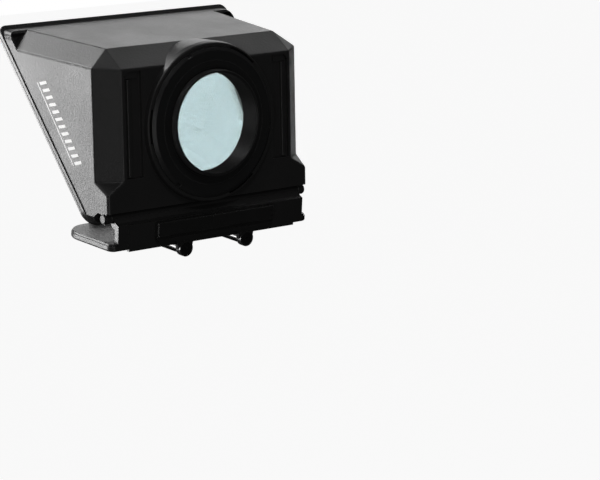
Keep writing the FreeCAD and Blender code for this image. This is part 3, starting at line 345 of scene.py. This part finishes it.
# Metal that shows outside is darker than the rods within.
OUTER_METAL = {
    "hinge_pins": MATERIALS["steel_black"],
    "tube_screws": MATERIALS["steel_black"],
    "guide_tube_left": bright_metal("smoked_tube", 0.10, 0.22, (1.0, 0.05, 1.0)),
}
OUTER_METAL["guide_tube_right"] = OUTER_METAL["guide_tube_left"]

for node_name, node_object in frame["nodes"].items():
    dress(node_object, OUTER_METAL.get(node_name) or MATERIALS[slot_of(node_name)])


def new_piece(name, mesh, body, slot, material=None):
    """Adds a mesh as a piece of its own that rides on a body."""
    made = bpy.data.objects.new(name, mesh)
    bpy.context.scene.collection.objects.link(made)
    dress(made, material or MATERIALS[slot])
    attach(made, body)
    return made


def part_of(node):
    """The body a CAD node rides on."""
    return next(body for body, nodes in frame["record"]["behaviour"]["bodies"].items() if node in nodes)


def shade_smooth(mesh, angle_deg):
    """Smooth shading, with edges sharper than the angle kept hard."""
    mesh.polygons.foreach_set("use_smooth", [True] * len(mesh.polygons))
    mesh.set_sharp_from_angle(angle=math.radians(angle_deg))


# ---- turned ring that screws on the lens ----

def lathe_mesh(name, rows, turns):
    """A closed mesh about the lens axis, from rows of (radius at an angle, height)."""
    verts = []
    for radius, height in rows:
        for angle in turns:
            r = radius(angle)
            verts.append((r * math.cos(angle), height, r * math.sin(angle)))
    count = len(turns)
    faces = []
    for i in range(len(rows)):
        a, b = i * count, ((i + 1) % len(rows)) * count
        for j in range(count):
            k = (j + 1) % count
            faces.append((a + j, b + j, b + k, a + k))
    mesh = bpy.data.meshes.new(name)
    mesh.from_pydata(verts, [], faces)
    work = bmesh.new()
    work.from_mesh(mesh)
    bmesh.ops.remove_doubles(work, verts=work.verts, dist=2e-7)
    bmesh.ops.recalc_face_normals(work, faces=work.faces)
    work.to_mesh(mesh)
    work.free()
    shade_smooth(mesh, 20)
    return mesh


def even(radius, height):
    """A row with the same radius all the way round."""
    return (lambda angle: radius, height)


def turned_ring():
    """The lens ring as it comes off the lathe: thread, anti-glare grooves, chamfer, tabs and notches."""
    low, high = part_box("adapter_ring")
    outer, thread_end, neck_end = high.x, high.y, low.y
    bore, crest, root, pitch = 0.0272, 0.0290, 0.02855, 0.00075
    bore_edge, groove, groove_deep = 0.0004, 0.00055, 0.00035
    undercut, line_in, line_out, line_deep = 0.0003, 0.0335, 0.03385, 0.0001
    neck, tab, tab_front, shoulder = 0.0382, 0.0399, neck_end + 0.0015, neck_end + 0.0040
    chamfer_deep, face_edge, notch_floor, rim_edge = 0.0012, outer - 0.0019, -0.0016, 0.0002
    notch_centre, notch_r = outer + 0.0003, 0.0017
    tab_angles, tab_half = (0, 120, 240), math.radians(12)
    notch_angles = (68, 188, 308)
    notch_half = math.asin(notch_r / notch_centre)
    round_steps, notch_steps, thread_steps = 288, 12, 9
    sharp_turn, sharp_step = 1e-5, 1e-6

    def all_turns():
        """Even steps round the ring, with closer ones at the tabs' and the notches' edges."""
        turns = set(i * math.tau / round_steps for i in range(round_steps))
        for centre in tab_angles:
            for edge in (-tab_half, tab_half):
                for side in (-sharp_turn, sharp_turn):
                    turns.add((math.radians(centre) + edge + side) % math.tau)
        for centre in notch_angles:
            for i in range(-notch_steps, notch_steps + 1):
                swing = math.sin(math.pi / 2 * i / notch_steps)
                turns.add((math.radians(centre) + notch_half * swing) % math.tau)
            for sign in (-1, 1):
                turns.add((math.radians(centre) + sign * (notch_half + sharp_turn)) % math.tau)
        return sorted(turns)

    def off(angle, centre_deg):
        """How far an angle is from a centre, between -pi and pi."""
        return (angle - math.radians(centre_deg) + math.pi) % math.tau - math.pi

    def notched(radius):
        """The radius, cut in where a round grip notch passes."""
        def at(angle):
            for centre in notch_angles:
                lean = off(angle, centre)
                if abs(lean) < notch_half:
                    half_chord = math.sqrt(notch_r ** 2 - (notch_centre * math.sin(lean)) ** 2)
                    return min(radius, notch_centre * math.cos(lean) - half_chord)
            return radius
        return at

    def tabbed(angle):
        """The neck's radius, or the tab's over the three bayonet tabs."""
        return tab if any(abs(off(angle, centre)) < tab_half for centre in tab_angles) else neck

    def threaded(y):
        """A helical thread that runs out at both ends."""
        run_in, run_out, fade = y - 0.0004, thread_end - 0.0002 - y, 0.0006
        depth = min(1.0, max(0.0, run_in / fade), max(0.0, run_out / fade))

        def at(angle):
            wave = abs(((y / pitch - angle / math.tau) % 1.0) * 2 - 1)
            return root + (crest - root) * (1 - depth * (1 - min(1.0, wave * 1.25)))
        return at

    def bore_rows():
        """The grooved bore, from the neck's end out to the thread's end."""
        rows = [even(bore + bore_edge, neck_end), even(bore, neck_end + bore_edge)]
        y = neck_end + 0.0006
        while y < thread_end - 0.0012:
            rows += [even(bore, y), even(bore + groove_deep, y + groove * 0.5)]
            y += groove
        rows += [even(bore, thread_end - 0.0005), even(bore + 0.0003, thread_end - 0.0001)]
        return rows + [even(bore + 0.0005, thread_end)]

    def thread_rows():
        """The male thread, from its end back to the seat."""
        rows = [even(root - 0.0001, thread_end), even(root + 0.00005, thread_end - 0.0002)]
        y = thread_end - 0.0003
        while y > 0.0005:
            rows.append((threaded(y), y))
            y -= pitch / thread_steps
        return rows + [even(root, 0.0004), even(root, -undercut)]

    def face_rows():
        """The seat and the face, with an undercut at the thread and a scribed line."""
        return [even(crest + 0.0006, -undercut), even(crest + 0.0008, 0.0),
                even(line_in, 0.0), even(line_in + 0.00005, -line_deep),
                even(line_out - 0.00005, -line_deep), even(line_out, 0.0)]

    def rim_rows():
        """The chamfered rim with its notches, then the shoulder, the neck and the tabs."""
        return [(notched(face_edge), 0.0), (notched(outer), -chamfer_deep), (notched(outer), notch_floor),
                even(outer, notch_floor - sharp_step), even(outer, shoulder + rim_edge),
                even(outer - rim_edge, shoulder), even(neck, shoulder), even(neck, tab_front + sharp_step),
                (tabbed, tab_front), (tabbed, neck_end)]

    rows = bore_rows() + thread_rows() + face_rows() + rim_rows()
    mesh = lathe_mesh("turned_adapter_ring", rows, all_turns())
    ring = new_piece("turned_adapter_ring", mesh, "adapter", "anodised_black")
    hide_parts("adapter_ring")


turned_ring()


# ---- soft pads ----

def lump(point, scale, seed):
    """Smooth deterministic unevenness between about -1 and 1."""
    x, y, z = (c * scale for c in point)
    return (math.sin(x * 1.7 + 1.3 * seed + 1.1 * math.sin(y * 1.3 + seed)) +
            math.sin(y * 2.1 - 0.7 * seed + 1.7 * math.sin(z * 1.9)) +
            math.sin(z * 1.5 + 0.9 * seed + 1.3 * math.sin(x * 0.9))) / 3


def soft_pad(name, node, slot, voxel, smooth, uneven, ribs, seed):
    """A pad grown from a CAD solid: edges drawn round, faces a little uneven, ribs where they are given."""
    source = frame["nodes"][node]
    mesh = source.data.copy()
    mesh.name = name
    made = new_piece(name, mesh, part_of(node), slot)
    grow = made.modifiers.new("grow", "REMESH")
    grow.mode = "VOXEL"
    grow.voxel_size = voxel
    soften = made.modifiers.new("soften", "SMOOTH")
    soften.factor = 0.5
    soften.iterations = smooth
    bpy.context.view_layer.update()
    shaped = bpy.data.meshes.new_from_object(made.evaluated_get(bpy.context.evaluated_depsgraph_get()))
    made.modifiers.clear()
    made.data = shaped
    normals = [v.normal.copy() for v in shaped.vertices]
    lump_scale, faces_it = 900.0, 0.6
    for v, normal in zip(shaped.vertices, normals):
        move = uneven * lump(v.co, lump_scale, seed) - uneven
        if ribs is not None:
            facing, spacing, depth = ribs
            if normal.dot(facing) > faces_it:
                move -= depth * (0.5 + 0.5 * math.cos(math.tau * v.co.x / spacing)) ** 3
        v.co += normal * move
    dress(made, MATERIALS[slot])
    shade_smooth(shaped, 60)
    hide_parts(node)


tray_slope = math.radians(5)
tray_up = Vector((0, math.sin(tray_slope), math.cos(tray_slope)))
tray_back = Vector((0, math.cos(tray_slope), -math.sin(tray_slope)))
# name, CAD node, slot, voxel, smoothing passes, unevenness, ribs (facing, spacing, depth), seed
SOFT_PADS = (
    ("phone_grip_strips", "phone_pads", "rubber_black", 0.00022, 2, 0.00001, (tray_up, 0.0016, 0.00014), 1.0),
    ("stop_foam", "stop_pad", "foam_black", 0.00035, 3, 0.00003, None, 2.0),
    ("jaw_rubber", "jaw_pad", "rubber_black", 0.0003, 2, 0.00001, (tray_back, 0.0020, 0.00025), 3.0),
    ("glass_foam", "glass_gasket", "foam_black", 0.00025, 1, 0.00001, None, 4.0),
    ("light_seal_foam", "lens_seal", "foam_black", 0.0005, 3, 0.00005, None, 5.0),
)
for pad in SOFT_PADS:
    soft_pad(*pad)


# ---- plain printed stripes on the side panel ----

def printed_stripes():
    """Plain stripes in a row parallel to the rim, printed on the operator's left side panel."""
    hood = frame["nodes"]["hood_shell"]
    slope = math.radians(58.0)
    along = Vector((0, -math.cos(slope), math.sin(slope)))
    across = Vector((0, -math.sin(slope), -math.cos(slope)))
    start = Vector((0.2, -0.0270, -0.0180))
    lean, step = 0.35, 0.002
    lift, film_thick = 0.00003, 0.00002

    def on_panel(u, v):
        """The place on the panel that a ray from the side meets, lifted by the ink."""
        point = start + along * u + across * v
        _, place, normal, _ = hood.ray_cast(point, Vector((-1, 0, 0)))
        return place + normal * lift

    mesh = bpy.data.meshes.new("printed_stripes")
    work = bmesh.new()
    count, spacing, width = 12, 0.0044, 0.0018
    # each bar's two ends along the row, then its two ends across it; the last is a thin line beside the rest
    bars = [(spacing * i, spacing * i + width, -0.0026, 0.0024) for i in range(count)]
    bars.append((0.0, spacing * (count - 1) + width, 0.0036, 0.0042))
    for u0, u1, v0, v1 in bars:
        steps = max(2, round((u1 - u0) / step))
        previous = None
        for i in range(steps + 1):
            u = u0 + (u1 - u0) * i / steps
            pair = [work.verts.new(on_panel(u + lean * v, v)) for v in (v0, v1)]
            if previous:
                work.faces.new((previous[0], pair[0], pair[1], previous[1]))
            previous = pair
    bmesh.ops.recalc_face_normals(work, faces=work.faces)
    work.to_mesh(mesh)
    work.free()
    made = new_piece("printed_stripes", mesh, "hood", "hood_black", INK)
    film = made.modifiers.new("film", "SOLIDIFY")
    film.thickness = film_thick
    film.offset = 0.0


printed_stripes()


# ---- floor, light and camera ----

def studio_floor(height):
    """A plain pale floor that shows bright to the camera and throws little light back up."""
    mesh = bpy.data.meshes.new("floor")
    half = 14.0
    corners = [(-half, -half, height), (half, -half, height), (half, half, height), (-half, half, height)]
    mesh.from_pydata(corners, [], [(0, 1, 2, 3)])
    floor = bpy.data.objects.new("studio_floor", mesh)
    bpy.context.scene.collection.objects.link(floor)
    s = Shader("pale_floor")
    path = s.node("ShaderNodeLightPath")
    matt = s.node("ShaderNodeBsdfDiffuse")
    s.put(matt.inputs["Color"], s.mix(s.noise(1.3, detail=2.0), grey(0.34), grey(0.36)))
    glow = s.node("ShaderNodeEmission")
    glow.inputs["Color"].default_value = grey(1.0)
    glow.inputs["Strength"].default_value = 0.93
    seen = s.node("ShaderNodeAddShader")
    s.put(seen.inputs[0], matt.outputs[0])
    s.put(seen.inputs[1], glow.outputs[0])
    unseen = s.node("ShaderNodeBsdfDiffuse")
    unseen.inputs["Color"].default_value = grey(0.10)
    blend = s.node("ShaderNodeMixShader")
    s.put(blend.inputs[0], path.outputs["Is Camera Ray"])
    s.put(blend.inputs[1], unseen.outputs[0])
    s.put(blend.inputs[2], seen.outputs[0])
    s.put(s.output.inputs["Surface"], blend.outputs[0])
    dress(floor, s.material)


def studio_world(dim):
    """White to the camera and a dim even room to the object."""
    world = bpy.data.worlds.new("studio")
    bpy.context.scene.world = world
    world.use_nodes = True
    tree = world.node_tree
    tree.nodes.clear()
    path = tree.nodes.new("ShaderNodeLightPath")
    strength = tree.nodes.new("ShaderNodeMix")
    strength.data_type = "FLOAT"
    tree.links.new(path.outputs["Is Camera Ray"], strength.inputs[0])
    strength.inputs[2].default_value = dim
    strength.inputs[3].default_value = 1.0
    back = tree.nodes.new("ShaderNodeBackground")
    back.inputs["Color"].default_value = grey(1.0)
    tree.links.new(strength.outputs[0], back.inputs["Strength"])
    out = tree.nodes.new("ShaderNodeOutputWorld")
    tree.links.new(back.outputs[0], out.inputs["Surface"])


def softbox(name, toward, distance, width, height, power):
    """A rectangular area light that faces the middle of the hood."""
    target = Vector((0, -0.03, 0))
    light = bpy.data.lights.new(name, "AREA")
    light.shape = "RECTANGLE"
    light.size = width
    light.size_y = height
    light.energy = power
    made = bpy.data.objects.new(name, light)
    bpy.context.scene.collection.objects.link(made)
    direction = toward.normalized()
    made.location = target + direction * distance
    made.rotation_euler = direction.to_track_quat("Z", "Y").to_euler()
    made.visible_camera = False


def set_camera():
    """The camera stands behind and to one side of the hood, a little above it, with a long lens."""
    azimuth, elevation, roll = math.radians(140.13), math.radians(10.67), math.radians(-0.98)
    aim, distance = Vector((-0.0294, 0.0357, -0.0640)), 1.5
    lens_mm, sensor_mm = 166.08, 36.0
    level = math.cos(elevation)
    back = Vector((math.sin(azimuth) * level, -math.cos(azimuth) * level, math.sin(elevation)))
    right = Vector((math.cos(azimuth), math.sin(azimuth), 0.0))
    up = back.cross(right)
    right, up = (right * math.cos(roll) + up * math.sin(roll), up * math.cos(roll) - right * math.sin(roll))
    data = bpy.data.cameras.new("camera")
    data.lens = lens_mm
    data.sensor_width = sensor_mm
    data.clip_end = 60.0
    made = bpy.data.objects.new("camera", data)
    bpy.context.scene.collection.objects.link(made)
    made.matrix_world = Matrix((
        (right.x, up.x, back.x, 0), (right.y, up.y, back.y, 0), (right.z, up.z, back.z, 0), (0, 0, 0, 1),
    ))
    made.location = aim + back * distance
    bpy.context.scene.camera = made


# name, direction from the object, distance, width and height in metres, power in watts
SOFTBOXES = (
    ("cove", (-0.63, -0.754, 0.17), 1.4, 1.1, 0.50, 2.4),
    ("cove_high", (-0.63, -0.71, 0.48), 1.4, 0.6, 0.12, 1.0),
    ("cove_low", (-0.63, -0.754, -0.12), 1.4, 0.8, 0.40, 8.0),
    ("side_low", (0.63, -0.754, -0.12), 1.4, 0.8, 0.38, 15.0),
    ("side_key", (0.60, -0.74, 0.33), 1.4, 0.30, 0.15, 8.0),
    ("bevel_light", (0.27, -0.65, 0.72), 1.4, 0.5, 0.5, 10.0),
    ("overhead", (-0.02, -0.20, 0.97), 1.3, 0.3, 0.3, 0.9),
    ("rear_over", (-0.63, -0.05, 0.78), 1.4, 0.4, 0.4, 0.9),
    ("ring_light", (0.31, 0.58, 0.76), 1.4, 0.22, 0.16, 1.4),
    ("edge_strip", (0.73, 0.61, -0.12), 1.5, 0.08, 1.0, 0.7),
    ("rib_strip", (0.35, 0.92, -0.15), 1.5, 0.05, 0.8, 1.2),
)
FLOOR_DROP = 1.60

studio_floor(CAD_BOX[0][2] - FLOOR_DROP)
studio_world(dim=0.035)
for box_name, toward, distance, width, height, power in SOFTBOXES:
    softbox(box_name, Vector(toward), distance, width, height, power)
set_camera()
bpy.context.scene.view_settings.view_transform = "Standard"
